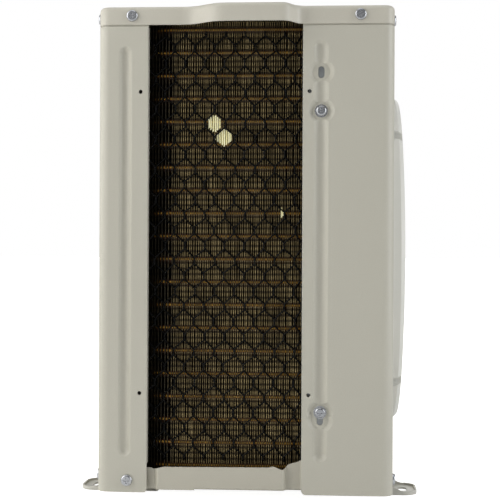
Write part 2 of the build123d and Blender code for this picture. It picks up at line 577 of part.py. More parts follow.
FAN_YC = -118.0
b0 = blade()
with BuildPart() as fan_rotor:
    for k in range(4):
        add(Rot(0, 0, 90 * k) * b0)
    with BuildSketch(Plane.XY.offset(-40)):
        Circle(185.0)
    extrude(amount=80, mode=Mode.INTERSECT)
    with BuildSketch(Plane.XY.offset(-22)):
        Circle(38.0)
    extrude(amount=44)
    with BuildSketch(Plane.XY.offset(-22)):
        Circle(33.0)
        Circle(13.0, mode=Mode.SUBTRACT)
    extrude(amount=36, mode=Mode.SUBTRACT)
    with BuildSketch(Plane.XY.offset(-30)):
        Circle(5.0)
    extrude(amount=60, mode=Mode.SUBTRACT)
fan_local = fan_rotor.part
with BuildPart() as fan_rotor:
    add(Pos(FAN_X, FAN_YC, FAN_Z) * Rot(90, 0, 0) * fan_local)
save(fan_rotor, "fan_rotor")
with BuildPart() as fan_shaft:
    add(cyl("Y", -150.0, -20.0, FAN_X, FAN_Z, 5.0))
    with BuildSketch(Plane(origin=(FAN_X, -140.0, FAN_Z), x_dir=(1, 0, 0), z_dir=(0, -1, 0))):
        RegularPolygon(9.0, 6)
    extrude(amount=7.0)
save(fan_shaft, "fan_shaft")

with BuildPart() as fan_motor:
    add(cyl("Y", -74.0, 6.0, FAN_X, FAN_Z, 47.0))
    add(cyl("Y", -84.0, -73.0, FAN_X, FAN_Z, 15.0))
    fillet(fan_motor.edges().filter_by(GeomType.CIRCLE).sort_by(Axis.Y)[2:3], 4.0)
    for k in range(16):
        a = radians(22.5 * k)
        add(Pos(FAN_X, -34.0, FAN_Z) * Rot(0, 22.5 * k, 0) * (Pos(48.5, 0, 0) * Box(5.0, 56.0, 2.0, mode=Mode.PRIVATE)))
    add(cyl("Y", -90.0, -18.0, FAN_X, FAN_Z, 5.05), mode=Mode.SUBTRACT)
save(fan_motor, "fan_motor")

with BuildPart() as motor_bracket:
    for sx in (-1, 1):
        add(box(FAN_X + sx * 36.0 - 9.0, FAN_X + sx * 36.0 + 9.0, 6.0, 8.0, Z_FLOOR, 532.0))
        add(box(FAN_X + sx * 45.0 - 1.0, FAN_X + sx * 45.0 + 1.0, 6.0, 18.0, Z_FLOOR, 532.0))
    for zz in (Z_FLOOR, 216.0, 306.0, 530.0):
        add(box(FAN_X - 46.0, FAN_X + 46.0, 6.0, 26.0 if zz in (Z_FLOOR, 530.0) else 8.0, zz, zz + (2.0 if zz in (Z_FLOOR, 530.0) else 14.0)))
save(motor_bracket, "motor_bracket")

# ---------------------------------------------------------------- compressor group
CX, CY, CR = 228.0, -85.0, 56.0
with BuildPart() as compressor_shell:
    with BuildSketch(Plane(origin=(CX, CY, 0), x_dir=(1, 0, 0), z_dir=(0, -1, 0))):
        with BuildLine():
            Polyline((0, 36.0), (30.0, 36.0))
            Spline((30.0, 36.0), (50.0, 44.0), (CR, 62.0))
            Line((CR, 62.0), (CR, 270.0))
            Spline((CR, 270.0), (46.0, 288.0), (14.0, 298.0))
            Polyline((14.0, 298.0), (9.0, 302.0), (0, 302.0), (0, 36.0))
        make_face()
    revolve(axis=Axis((CX, CY, 0), (0, 0, 1)))
    with BuildSketch(Plane.XY.offset(33.0)):
        with Locations((CX, CY)):
            RegularPolygon(84.0, 3, rotation=90)
    extrude(amount=3.2)
    # terminal cover seat and weld band
    with BuildSketch(Plane.XY.offset(150.0)):
        with Locations((CX, CY)):
            Circle(CR + 1.2)
    extrude(amount=5.0)
    add(box(CX - 22.0, CX + 22.0, CY - CR - 12.0, CY - 40.0, 185.0, 235.0))
    for k in range(3):
        a = radians(90 + 120 * k)
        add(cyl("Z", 20.0, 45.0, CX + 66.0 * cos(a), CY + 66.0 * sin(a), 8.0), mode=Mode.SUBTRACT)
save(compressor_shell, "compressor_shell")
GROM = [(CX + 66.0 * cos(radians(90 + 120 * k)), CY + 66.0 * sin(radians(90 + 120 * k))) for k in range(3)]
with BuildPart() as compressor_grommets:
    for gx, gy in GROM:
        with Locations((gx, gy, 0)):
            with Locations((0, 0, Z_FLOOR + (33.0 - Z_FLOOR) / 2)):
                Cylinder(12.0, 33.0 - Z_FLOOR)
            with Locations((0, 0, 34.6)):
                Cylinder(7.9, 3.2)
            with Locations((0, 0, 37.7)):
                Cylinder(12.0, 3.0)
            with Locations((0, 0, 41.0)):
                Cylinder(6.5, 4.0)
save(compressor_grommets, "compressor_grommets")
AX, AY, AR = 180.0, -12.0, 26.0
with BuildPart() as accumulator:
    with BuildSketch(Plane(origin=(AX, AY, 0), x_dir=(1, 0, 0), z_dir=(0, -1, 0))):
        with BuildLine():
            Polyline((0, 108.0), (9.0, 108.0))
            Spline((9.0, 108.0), (20.0, 114.0), (AR, 128.0))
            Line((AR, 128.0), (AR, 250.0))
            Spline((AR, 250.0), (20.0, 263.0), (9.0, 270.0))
            Polyline((9.0, 270.0), (0, 270.0), (0, 108.0))
        make_face()
    revolve(axis=Axis((AX, AY, 0), (0, 0, 1)))
    # brazed outlet elbow into the side of the compressor
    ux, uy = (CX - AX) / sqrt((CX - AX) ** 2 + (CY - AY) ** 2), (CY - AY) / sqrt((CX - AX) ** 2 + (CY - AY) ** 2)
    with BuildLine() as ao:
        FilletPolyline((AX, AY, 112.0), (AX, AY, 84.0), (CX - ux * (CR - 4.0), CY - uy * (CR - 4.0), 84.0), radius=12.0)
    with BuildSketch(Plane(origin=(AX, AY, 112.0), z_dir=(0, 0, -1))):
        Circle(6.35)
    sweep(path=ao.wires()[0])
    add(cyl("Z", 40.0, 130.0, CX, CY, CR), mode=Mode.SUBTRACT)
save(accumulator, "accumulator")


def pipe(name, pts, r, bend=12.0):
    with BuildPart() as p:
        with BuildLine() as path:
            FilletPolyline(*pts, radius=bend)
        d = (Vector(*pts[1]) - Vector(*pts[0])).normalized()
        with BuildSketch(Plane(origin=Vector(*pts[0]), z_dir=d)):
            Circle(r)
        sweep(path=path.wires()[0])
    save(p, name)


VX, VY, VZ, VR = 222.0, -12.0, 350.0, 13.0
with BuildPart() as four_way_valve:
    add(cyl("X", VX - 44.0, VX + 44.0, VY, VZ, VR))
    add(cyl("X", VX - 48.0, VX + 48.0, VY, VZ, VR - 4.0))
    add(cyl("Z", VZ, VZ + VR + 7.0, CX, VY, 5.8))
    add(cyl("Z", VZ - VR - 6.0, VZ, VX, VY, 7.4))
    add(cyl("Z", VZ - VR - 6.0, VZ, VX - 25.0, VY, 7.0))
    add(cyl("Z", VZ - VR - 6.0, VZ, VX + 25.0, VY, 5.8))
    # pilot valve and solenoid coil alongside
    add(box(VX - 20.0, VX + 20.0, VY + 10.0, VY + 20.0, VZ - 4.0, VZ + 4.0))
    add(box(VX - 12.0, VX + 26.0, VY + 18.0, VY + 40.0, VZ - 14.0, VZ + 14.0))
save(four_way_valve, "four_way_valve")

pipe("discharge_pipe", [(CX, CY, 302.0), (CX, CY, 384.0), (CX, VY, 384.0), (CX, VY, VZ + VR + 7.0)], 4.76, 10.0)
pipe("suction_pipe", [(VX, VY, VZ - VR - 6.0), (VX, VY, 300.0), (AX, VY, 300.0), (AX, AY, 270.0)], 6.35, 12.0)
pipe("evaporator_outlet_pipe", [(VX - 25.0, VY, VZ - VR - 6.0), (VX - 25.0, VY, 317.5), (VX - 25.0, 38.0, 317.5),
                                (VX - 25.0, 38.0, Z_INN[17]), (VX - 25.0, yi, Z_INN[17]), (xR, yi, Z_INN[17])], 6.0, 12.0)

# ---------------------------------------------------------------- water heat exchanger
EX, EY, ER = 300.0, 72.0, 68.0
EZ0, EZ1 = 26.0, 430.0
pipe("gas_pipe", [(VX + 25.0, VY, VZ - VR - 6.0), (VX + 25.0, VY, 314.0), (EX - 15.0, VY, 314.0), (EX - 15.0, VY, 470.0),
                  (EX - 15.0, EY - 22.0, 470.0), (EX - 15.0, EY - 22.0, EZ1 + 8.0)], 4.76, 10.0)
VEX, VEY = EX - 10.0, 112.0
pipe("liquid_pipe", [(VEX - 11.0, VEY, 458.0), (225.0, VEY, 458.0), (225.0, yo, 458.0), (225.0, yo, Z_OUT[19]),
                     (xR, yo, Z_OUT[19])], 4.0, 8.0)
with BuildPart() as expansion_valve:
    add(cyl("Z", EZ1 + 8.0, 472.0, VEX, VEY, 11.0))
    add(box(VEX - 11.0, VEX, VEY - 6.0, VEY + 6.0, 452.0, 464.0))
    add(cyl("Z", 472.0, 506.0, VEX, VEY, 15.0))
    add(cyl("Z", 506.0, 510.0, VEX, VEY, 6.0))
save(expansion_valve, "expansion_valve")

with BuildPart() as heat_exchanger_shell:
    add(cyl("Z", EZ0, EZ1, EX, EY, ER))
    add(cyl("Z", EZ0 + 14.0, EZ1 - 14.0, EX, EY, ER - 5.0), mode=Mode.SUBTRACT)
    for z in (EZ0 + 16.0, EZ1 - 20.0):
        with BuildSketch(Plane.XY.offset(z)):
            with Locations((EX, EY)):
                Circle(ER + 3.0)
                Circle(ER - 1.0, mode=Mode.SUBTRACT)
        extrude(amount=4.0)
    for z in (WATER_Z_IN, WATER_Z_OUT):
        add(cyl("X", EX + ER - 16.0, 372.0, EY, z, 26.0) - cyl("Z", EZ0, EZ1, EX, EY, ER - 5.0))
        add(cyl("X", EX + ER - 30.0, 374.0, EY, z, 20.0), mode=Mode.SUBTRACT)
    add(cyl("Z", EZ1 - 1.0, EZ1 + 8.0, EX - 15.0, EY - 22.0, 8.0))
    add(cyl("Z", EZ1 - 1.0, EZ1 + 8.0, VEX, VEY, 7.0))
    # moulded foot ring
    add(cyl("Z", Z_FLOOR, EZ0 + 1.0, EX, EY, 56.0) - cyl("Z", Z_FLOOR - 1, EZ0 - 2.0, EX, EY, 52.0))
save(heat_exchanger_shell, "heat_exchanger_shell")
with BuildPart() as titanium_coil:
    with BuildLine() as hx:
        Helix(pitch=22.0, height=286.0, radius=44.0, center=(EX, EY, 70.0))
    with BuildSketch(Plane(origin=hx.line @ 0, z_dir=hx.line % 0)):
        Circle(7.0)
    sweep(path=hx.wires()[0], is_frenet=True)
save(titanium_coil, "titanium_coil")

# ---------------------------------------------------------------- water unions
def union(z, tag):
    x0 = 372.0
    with BuildPart() as body:
        add(cyl("X", x0, 399.0, WATER_Y, z, 26.0))
        add(cyl("X", 391.0, 395.0, WATER_Y, z, 32.5))
        add(cyl("X", 398.0, 414.0, WATER_Y, z, 33.0))
        add(cyl("X", x0 - 1, 416.0, WATER_Y, z, 20.0), mode=Mode.SUBTRACT)
        if tag == "inlet":
            # paddle opening in the wall of the inlet stub
            add(box(373.5, 386.5, WATER_Y - 6.5, WATER_Y + 6.5, z + 10.0, z + 30.0), mode=Mode.SUBTRACT)
    save(body, tag + "_union_body")
    with BuildPart() as nut:
        add(cyl("X", 399.0, 423.0, WATER_Y, z, 40.0))
        for k in range(12):
            add(Pos(411.0, WATER_Y, z) * Rot(30 * k, 0, 0) * (Pos(0, 0, 40.5) * Box(24.0, 7.0, 5.0, mode=Mode.PRIVATE)))
        add(cyl("X", 398.0, 419.0, WATER_Y, z, 33.06), mode=Mode.SUBTRACT)
        add(cyl("X", 418.0, 424.0, WATER_Y, z, 28.06), mode=Mode.SUBTRACT)
    save(nut, tag + "_union_nut")
    with BuildPart() as tail:
        add(cyl("X", 414.0, 418.9, WATER_Y, z, 32.6))
        add(cyl("X", 418.0, 456.0, WATER_Y, z, 28.0))
        add(cyl("X", 422.0, 457.0, WATER_Y, z, 24.3), mode=Mode.SUBTRACT)
        add(cyl("X", 413.0, 423.0, WATER_Y, z, 20.0), mode=Mode.SUBTRACT)
    save(tail, tag + "_tailpiece")


union(WATER_Z_IN, "inlet")
union(WATER_Z_OUT, "outlet")

# ---------------------------------------------------------------- flow switch on the inlet stub
FS_Z = WATER_Z_IN + 32.0
with BuildPart() as flow_switch_body:
    add(box(372.5, 387.5, WATER_Y - 9.0, WATER_Y + 9.0, WATER_Z_IN + 22.0, WATER_Z_IN + 58.0))
    add(cyl("X", 370.0, 390.0, WATER_Y, WATER_Z_IN, 26.0), mode=Mode.SUBTRACT)
    add(box(373.5, 386.5, WATER_Y - 6.5, WATER_Y + 6.5, WATER_Z_IN + 20.0, WATER_Z_IN + 44.0), mode=Mode.SUBTRACT)
    add(cyl("Y", WATER_Y - 12.0, WATER_Y + 12.0, 380.0, FS_Z, 2.05), mode=Mode.SUBTRACT)
save(flow_switch_body, "flow_switch_body")
with BuildPart() as flow_paddle:
    add(cyl("Y", WATER_Y - 8.5, WATER_Y + 8.5, 380.0, FS_Z, 2.0))
    add(box(379.2, 380.8, WATER_Y - 3.0, WATER_Y + 3.0, WATER_Z_IN - 8.0, FS_Z))
    add(box(379.2, 380.8, WATER_Y - 5.5, WATER_Y + 5.5, WATER_Z_IN - 10.0, WATER_Z_IN + 8.0))
save(flow_paddle, "flow_paddle")

# ---------------------------------------------------------------- pressure gauge on the right end
with BuildPart() as gauge_case:
    add(cyl("X", HX, HX + 2.0, GA_Y, GA_Z, 30.0))
    add(cyl("X", HX, HX + 11.0, GA_Y, GA_Z, 26.0))
    add(cyl("X", HX - 16.0, HX + 1.0, GA_Y, GA_Z, 21.3))
    add(cyl("X", HX - 10.0, HX + 12.0, GA_Y, GA_Z, 23.5) & cyl("X", HX + 1.0, HX + 12.0, GA_Y, GA_Z, 23.5), mode=Mode.SUBTRACT)
    add(cyl("X", HX - 26.0, HX - 15.0, GA_Y, GA_Z, 5.0))
    add(cyl("X", HX - 12.0, HX + 3.0, GA_Y, GA_Z, 1.55), mode=Mode.SUBTRACT)
save(gauge_case, "gauge_case")
with BuildPart() as gauge_dial:
    add(cyl("X", HX + 1.0, HX + 2.2, GA_Y, GA_Z, 23.3))
    add(cyl("X", HX - 1.0, HX + 3.0, GA_Y, GA_Z, 1.9), mode=Mode.SUBTRACT)
save(gauge_dial, "gauge_dial")
with BuildPart() as gauge_needle:
    add(cyl("X", HX - 8.0, HX + 5.2, GA_Y, GA_Z, 1.5))
    add(cyl("X", HX + 3.6, HX + 5.2, GA_Y, GA_Z, 3.0))
    with BuildSketch(Plane(origin=(HX + 3.8, GA_Y, GA_Z), x_dir=(0, 1, 0), z_dir=(1, 0, 0))):
        with BuildLine():
            Polyline((-1.4, 0), (-0.4, 18.0), (0.4, 18.0), (1.4, 0), (1.2, -7.0), (-1.2, -7.0), (-1.4, 0))
        make_face()
    extrude(amount=0.9)
gn = gauge_needle.part
with BuildPart() as gauge_needle:
    add(Pos(0, GA_Y, GA_Z) * Rot(135, 0, 0) * Pos(0, -GA_Y, -GA_Z) * gn)
save(gauge_needle, "gauge_needle")
with BuildPart() as gauge_lens:
    add(cyl("X", HX + 8.0, HX + 9.8, GA_Y, GA_Z, 23.4))
save(gauge_lens, "gauge_lens")

# ---------------------------------------------------------------- cable gland
with BuildPart() as cable_gland:
    add(cyl("X", HX, HX + 12.0, GL_Y, GL_Z, 11.5))
    with BuildSketch(Plane(origin=(HX, GL_Y, GL_Z), x_dir=(0, 1, 0), z_dir=(1, 0, 0))):
        RegularPolygon(14.5, 6)
    extrude(amount=6.0)
    add(frus("X", HX + 12.0, HX + 24.0, GL_Y, GL_Z, 11.5, 8.8))
    add(cyl("X", HX - 14.0, HX + 1.0, GL_Y, GL_Z, 8.1))
    add(cyl("X", HX - 15.0, HX + 26.0, GL_Y, GL_Z, 5.5), mode=Mode.SUBTRACT)
save(cable_gland, "cable_gland")

# ---------------------------------------------------------------- electrical box behind the control panel
BX0, BX1, BY0, BY1, BZ0, BZ1 = 160.0, 335.0, -146.0, -34.0, 396.0, 500.0
with BuildPart() as electrical_box:
    add(box(BX0, BX1, BY0, BY1, BZ0, BZ1))
    add(box(BX0 + 1.5, BX1 - 1.5, BY0 + 1.5, BY1 - 1.5, BZ0 + 1.5, BZ1 + 1), mode=Mode.SUBTRACT)
    # hanger flange to the partition
    add(box(X_SPLIT + 0.6, BX0 + 1.0, -120.0, -50.0, BZ0 + 60.0, BZ0 + 62.0))
    add(box(X_SPLIT + 0.6, X_SPLIT + 2.6, -120.0, -50.0, BZ0 + 30.0, BZ0 + 62.0))
    # clear the discharge riser
save(electrical_box, "electrical_box")
with BuildPart() as circuit_board:
    add(box(BX0 + 10.0, BX1 - 60.0, BY0 + 8.0, BY1 - 8.0, BZ0 + 8.0, BZ0 + 9.6))
    for i, (x, y, w, d, h) in enumerate([(185, -120, 22, 18, 22), (215, -120, 18, 16, 16), (245, -122, 14, 14, 20),
                                         (190, -80, 30, 26, 26), (235, -84, 24, 20, 12), (225, -56, 34, 10, 8)]):
        add(box(x - w / 2, x + w / 2, y - d / 2, y + d / 2, BZ0 + 9.0, BZ0 + 9.6 + h))
    # run capacitor and contactor stand on the same board carrier
    add(box(BX1 - 61.0, BX1 - 4.0, BY0 + 8.0, BY1 - 8.0, BZ0 + 1.5, BZ0 + 9.6))
    add(cyl("Z", BZ0 + 9.0, BZ0 + 80.0, 305.0, -115.0, 20.0))
    add(box(285.0, 328.0, -80.0, -44.0, BZ0 + 9.0, BZ0 + 52.0))
    for x, y in ((BX0 + 16.0, BY0 + 14.0), (BX1 - 66.0, BY0 + 14.0), (BX0 + 16.0, BY1 - 14.0), (BX1 - 66.0, BY1 - 14.0)):
        add(cyl("Z", BZ0 + 1.5, BZ0 + 8.5, x, y, 3.0))
save(circuit_board, "circuit_board")

# ---------------------------------------------------------------- control panel on the front
YB = -HY
with BuildPart() as control_bezel:
    with BuildSketch(Plane(origin=(CP_X, YB, CP_Z), x_dir=(1, 0, 0), z_dir=(0, -1, 0))):
        RectangleRounded(132.0, 84.0, 7.0)
    extrude(amount=6.0)
    fillet(control_bezel.faces().sort_by(Axis.Y)[0].outer_wire().edges(), 2.0)
    add(box(CP_X - 55.0, CP_X + 55.0, YB - 1.0, YB + 9.0, CP_Z - 31.0, CP_Z + 31.0))
    # sunken face behind the flap, and a pocket behind the keys
    add(box(CP_X - 58.0, CP_X + 58.0, YB - 7.0, YB - 2.5, CP_Z - 34.0, CP_Z + 34.0), mode=Mode.SUBTRACT)
    add(box(CP_X - 51.0, CP_X + 51.0, YB + 1.0, YB + 10.0, CP_Z - 27.0, CP_Z + 27.0), mode=Mode.SUBTRACT)
    # display window
    add(box(CP_X - 38.0, CP_X + 38.0, YB - 4.0, YB + 2.0, CP_Z - 3.0, CP_Z + 25.0), mode=Mode.SUBTRACT)
    BTN = [CP_X + dx for dx in (-40.0, -20.0, 0.0, 20.0, 40.0)]
    for bxk in BTN:
        add(cyl("Y", YB - 4.0, YB + 2.0, bxk, CP_Z - 18.0, 6.05), mode=Mode.SUBTRACT)
    # hinge pockets at the top edge
    for s in (-1, 1):
        add(cyl("X", CP_X + s * 60.0 - 3.0, CP_X + s * 60.0 + 3.0, YB - 4.4, CP_Z + 30.0, 1.05), mode=Mode.SUBTRACT)
save(control_bezel, "control_bezel")
with BuildPart() as display_module:
    add(box(CP_X - 37.8, CP_X + 37.8, YB - 1.6, YB + 1.0, CP_Z - 2.8, CP_Z + 24.8))
    add(box(CP_X - 41.0, CP_X + 41.0, YB + 1.0, YB + 3.0, CP_Z - 4.8, CP_Z + 26.6))
# display module and key board are one circuit assembly
with BuildPart() as control_display:
    add(display_module.part)
    add(box(CP_X - 50.0, CP_X + 50.0, YB + 6.4, YB + 8.0, CP_Z - 26.5, CP_Z + 26.5))
    add(box(CP_X - 40.0, CP_X + 40.0, YB + 2.9, YB + 6.5, CP_Z + 4.0, CP_Z + 22.0))
    for bxk in BTN:
        add(cyl("Y", YB + 4.6, YB + 6.6, bxk, CP_Z - 18.0, 2.0))
save(control_display, "control_display")
for nm, bxk in zip(("power", "mode", "timer", "up", "down"), BTN):
    with BuildPart() as key:
        add(cyl("Y", YB - 4.3, YB + 3.2, bxk, CP_Z - 18.0, 6.0))
        fillet(key.edges().filter_by(GeomType.CIRCLE).sort_by(Axis.Y)[0:1], 0.8)
        add(cyl("Y", YB + 1.4, YB + 2.6, bxk, CP_Z - 18.0, 7.4))
    save(key, "button_" + nm)
with BuildPart() as control_flap:
    with BuildSketch(Plane(origin=(CP_X, YB - 7.6, CP_Z - 1.5), x_dir=(1, 0, 0), z_dir=(0, 1, 0))):
        RectangleRounded(112.0, 60.0, 5.0)
    extrude(amount=1.8)
    for s in (-1, 1):
        add(box(CP_X + s * 54.5 - 2.5, CP_X + s * 54.5 + 2.5, YB - 7.0, YB - 3.2, CP_Z + 26.0, CP_Z + 28.4))
        add(box(CP_X + s * 54.5 - 2.5, CP_X + s * 54.5 + 2.5, YB - 6.4, YB - 3.2, CP_Z + 28.0, CP_Z + 31.2))
        add(cyl("X", CP_X + s * 58.0 - 3.9, CP_X + s * 58.0 + 3.9, YB - 4.4, CP_Z + 30.0, 1.0))
    # finger lip at the lower edge
    add(box(CP_X - 14.0, CP_X + 14.0, YB - 8.8, YB - 6.0, CP_Z - 33.5, CP_Z - 31.0))
save(control_flap, "control_flap")

# ---------------------------------------------------------------- drain spigot
with BuildPart() as drain_spigot:
    add(cyl("Z", Z_FLOOR, Z_FLOOR + 2.0, -100.0, 118.0, 13.0))
    add(cyl("Z", 11.9, Z_FLOOR + 0.5, -100.0, 118.0, 8.8))
    add(cyl("Z", 2.0, 12.0, -100.0, 118.0, 9.0))
    add(cyl("Z", 1.0, Z_FLOOR + 4.0, -100.0, 118.0, 6.5), mode=Mode.SUBTRACT)
save(drain_spigot, "drain_spigot")
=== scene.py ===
import bpy, bmesh, json, math, random
from mathutils import Vector, Matrix


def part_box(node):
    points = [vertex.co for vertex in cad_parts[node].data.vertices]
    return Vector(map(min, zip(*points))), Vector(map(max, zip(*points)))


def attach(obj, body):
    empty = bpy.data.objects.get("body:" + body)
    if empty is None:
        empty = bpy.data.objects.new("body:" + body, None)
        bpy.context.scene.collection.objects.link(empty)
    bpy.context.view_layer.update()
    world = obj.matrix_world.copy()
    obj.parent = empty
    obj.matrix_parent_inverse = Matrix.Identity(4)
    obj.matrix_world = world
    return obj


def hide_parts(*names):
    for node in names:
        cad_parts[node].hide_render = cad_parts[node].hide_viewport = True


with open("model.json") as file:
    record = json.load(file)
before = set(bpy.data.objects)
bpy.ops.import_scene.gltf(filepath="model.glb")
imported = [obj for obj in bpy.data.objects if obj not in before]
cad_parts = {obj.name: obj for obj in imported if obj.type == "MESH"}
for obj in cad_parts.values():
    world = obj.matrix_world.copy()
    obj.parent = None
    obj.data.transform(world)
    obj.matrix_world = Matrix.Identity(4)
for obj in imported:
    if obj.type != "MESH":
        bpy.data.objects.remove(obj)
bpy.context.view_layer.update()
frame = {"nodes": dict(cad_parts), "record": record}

scene = bpy.context.scene
nodes_by = frame["nodes"]
rng = random.Random(41)


# ------------------------------------------------------------------ colour helpers
def lin(c):
    out = []
    for v in c[:3]:
        v = v / 255.0
        out.append(v / 12.92 if v <= 0.04045 else ((v + 0.055) / 1.055) ** 2.4)
    return (out[0], out[1], out[2], 1.0)


class Mat:
    """Small wrapper that builds a node tree."""

    def __init__(self, name):
        self.m = bpy.data.materials.new(name)
        self.m.use_nodes = True
        self.t = self.m.node_tree
        for n in list(self.t.nodes):
            self.t.nodes.remove(n)
        self.out = self.t.nodes.new("ShaderNodeOutputMaterial")
        self.b = self.t.nodes.new("ShaderNodeBsdfPrincipled")
        self.t.links.new(self.b.outputs["BSDF"], self.out.inputs["Surface"])
        self.co = self.t.nodes.new("ShaderNodeTexCoord")

    def new(self, kind, **inp):
        n = self.t.nodes.new(kind)
        for k, v in inp.items():
            if k in n.inputs:
                n.inputs[k].default_value = v
        return n

    def link(self, a, b):
        self.t.links.new(a, b)

    def coord(self, scale=(1, 1, 1)):
        mp = self.t.nodes.new("ShaderNodeMapping")
        mp.inputs["Scale"].default_value = scale
        self.link(self.co.outputs["Object"], mp.inputs["Vector"])
        return mp.outputs["Vector"]

    def noise(self, scale, detail=4.0, rough=0.55, stretch=(1, 1, 1)):
        n = self.t.nodes.new("ShaderNodeTexNoise")
        n.inputs["Scale"].default_value = scale
        n.inputs["Detail"].default_value = detail
        n.inputs["Roughness"].default_value = rough
        self.link(self.coord(stretch), n.inputs["Vector"])
        return n.outputs["Fac"]

    def ramp(self, fac, stops):
        r = self.t.nodes.new("ShaderNodeValToRGB")
        e = r.color_ramp.elements
        while len(e) > 1:
            e.remove(e[-1])
        e[0].position, e[0].color = stops[0][0], stops[0][1]
        for p, c in stops[1:]:
            x = e.new(p)
            x.color = c
        self.link(fac, r.inputs["Fac"])
        return r.outputs["Color"]

    def remap(self, fac, a, b, lo=0.0, hi=1.0):
        r = self.t.nodes.new("ShaderNodeMapRange")
        r.inputs["From Min"].default_value = lo
        r.inputs["From Max"].default_value = hi
        r.inputs["To Min"].default_value = a
        r.inputs["To Max"].default_value = b
        self.link(fac, r.inputs["Value"])
        return r.outputs["Result"]

    def mix(self, fac, a, b):
        n = self.t.nodes.new("ShaderNodeMix")
        n.data_type = "RGBA"
        for sock, v in ((n.inputs["Factor"], fac), (n.inputs["A"], a), (n.inputs["B"], b)):
            if sock.name in ("A", "B"):
                sock = [s for s in n.inputs if s.name == sock.name and s.type == "RGBA"][0]
            else:
                sock = n.inputs[0]
            if hasattr(v, "is_linked") or isinstance(v, bpy.types.NodeSocket):
                self.link(v, sock)
            else:
                sock.default_value = v
        return [o for o in n.outputs if o.type == "RGBA"][0]

    def edge(self, lo=0.52, hi=0.60):
        g = self.t.nodes.new("ShaderNodeNewGeometry")
        return self.remap(g.outputs["Pointiness"], 0.0, 1.0, lo, hi)

    def bump(self, fac, strength, dist=0.001, normal=None):
        n = self.t.nodes.new("ShaderNodeBump")
        n.inputs["Strength"].default_value = strength
        n.inputs["Distance"].default_value = dist
        self.link(fac, n.inputs["Height"])
        if normal is not None:
            self.link(normal, n.inputs["Normal"])
        return n.outputs["Normal"]

    def round_edges(self, radius):
        n = self.t.nodes.new("ShaderNodeBevel")
        n.samples = 4
        n.inputs["Radius"].default_value = radius
        return n.outputs["Normal"]

    def set(self, color=None, rough=None, metal=None, normal=None, **kw):
        for key, v in (("Base Color", color), ("Roughness", rough), ("Metallic", metal), ("Normal", normal)):
            if v is None:
                continue
            if isinstance(v, bpy.types.NodeSocket):
                self.link(v, self.b.inputs[key])
            else:
                self.b.inputs[key].default_value = v
        for k, v in kw.items():
            k = k.replace("_", " ")
            if isinstance(v, bpy.types.NodeSocket):
                self.link(v, self.b.inputs[k])
            else:
                self.b.inputs[k].default_value = v
        return self.m


def scaled(c, k):
    return (min(c[0] * k, 1), min(c[1] * k, 1), min(c[2] * k, 1), 1.0)


def coated(name, rgb, rough=0.42, peel=0.10, var=0.05, grime=0.10, bevel=0.0009, coat=0.0):
    """Powder-coated or painted sheet: orange peel, faint tone drift, faint vertical dust streaks, lighter worn
    edges.
    """
    m = Mat(name)
    c = lin(rgb)
    big = m.noise(3.5, 3.0)
    col = m.ramp(big, [(0.30, scaled(c, 1 - var)), (0.55, c), (0.75, scaled(c, 1 + var))])
    fine = m.noise(900.0, 2.0)
    speck = m.ramp(fine, [(0.40, (0.94, 0.94, 0.93, 1)), (0.62, (1, 1, 1, 1))])
    mul = m.t.nodes.new("ShaderNodeMix")
    mul.data_type = "RGBA"
    mul.blend_type = "MULTIPLY"
    mul.inputs[0].default_value = 0.6
    ins = [s for s in mul.inputs if s.type == "RGBA"]
    m.link(col, ins[0])
    m.link(speck, ins[1])
    col = [o for o in mul.outputs if o.type == "RGBA"][0]
    g = m.t.nodes.new("ShaderNodeNewGeometry")
    wear = m.remap(g.outputs["Pointiness"], 0.0, 0.03, 0.53, 0.60)
    col = m.mix(wear, col, scaled(c, 1.18))
    # faint dust streaks
    dust = m.noise(14.0, 5.0, 0.6, (1, 1, 0.18))
    dm = m.remap(dust, 0.0, grime, 0.55, 0.75)
    col = m.mix(dm, col, scaled(c, 0.80))
    rv = m.remap(m.noise(60.0, 4.0), rough - 0.05, rough + 0.07, 0.3, 0.7)
    nb = m.round_edges(bevel)
    n1 = m.bump(m.noise(420.0, 2.0, 0.5), peel, 0.00025, nb)
    n2 = m.bump(m.noise(9.0, 2.0), 0.06, 0.002, n1)
    return m.set(color=col, rough=rv, normal=n2, Coat_Weight=coat, Coat_Roughness=0.25)


def metal(name, rgb, rough=0.32, brushed=None, var=0.10, tarnish=None, amount=0.5, bevel=0.0005, metallic=1.0):
    m = Mat(name)
    c = lin(rgb)
    col = m.ramp(m.noise(40.0, 5.0, 0.6), [(0.3, scaled(c, 1 - var)), (0.7, scaled(c, 1 + var))])
    if tarnish:
        col = m.mix(m.remap(m.noise(18.0, 6.0, 0.65), 0.0, amount, 0.42, 0.66), col, lin(tarnish))
    st = brushed or (1, 1, 1)
    rv = m.remap(m.noise(180.0, 4.0, 0.6, st), rough - 0.08, rough + 0.12, 0.3, 0.7)
    n = m.bump(m.noise(700.0, 3.0, 0.6, st), 0.12, 0.0002, m.round_edges(bevel))
    return m.set(color=col, rough=rv, metal=metallic, normal=n)


def plastic(name, rgb, rough=0.45, grain=0.12, var=0.06, bevel=0.0006, coat=0.0, scale=700.0, sub=0.0):
    m = Mat(name)
    c = lin(rgb)
    col = m.ramp(m.noise(12.0, 4.0), [(0.3, scaled(c, 1 - var)), (0.7, scaled(c, 1 + var))])
    g = m.t.nodes.new("ShaderNodeNewGeometry")
    wear = m.remap(g.outputs["Pointiness"], 0.0, 0.30, 0.53, 0.62)
    col = m.mix(wear, col, (min(c[0] * 1.5 + 0.01, 1), min(c[1] * 1.5 + 0.01, 1), min(c[2] * 1.5 + 0.01, 1), 1))
    rv = m.remap(m.noise(90.0, 4.0), rough - 0.06, rough + 0.08, 0.3, 0.7)
    n = m.bump(m.noise(scale, 2.0), grain, 0.0003, m.round_edges(bevel))
    return m.set(color=col, rough=rv, normal=n, Coat_Weight=coat, Coat_Roughness=0.12)


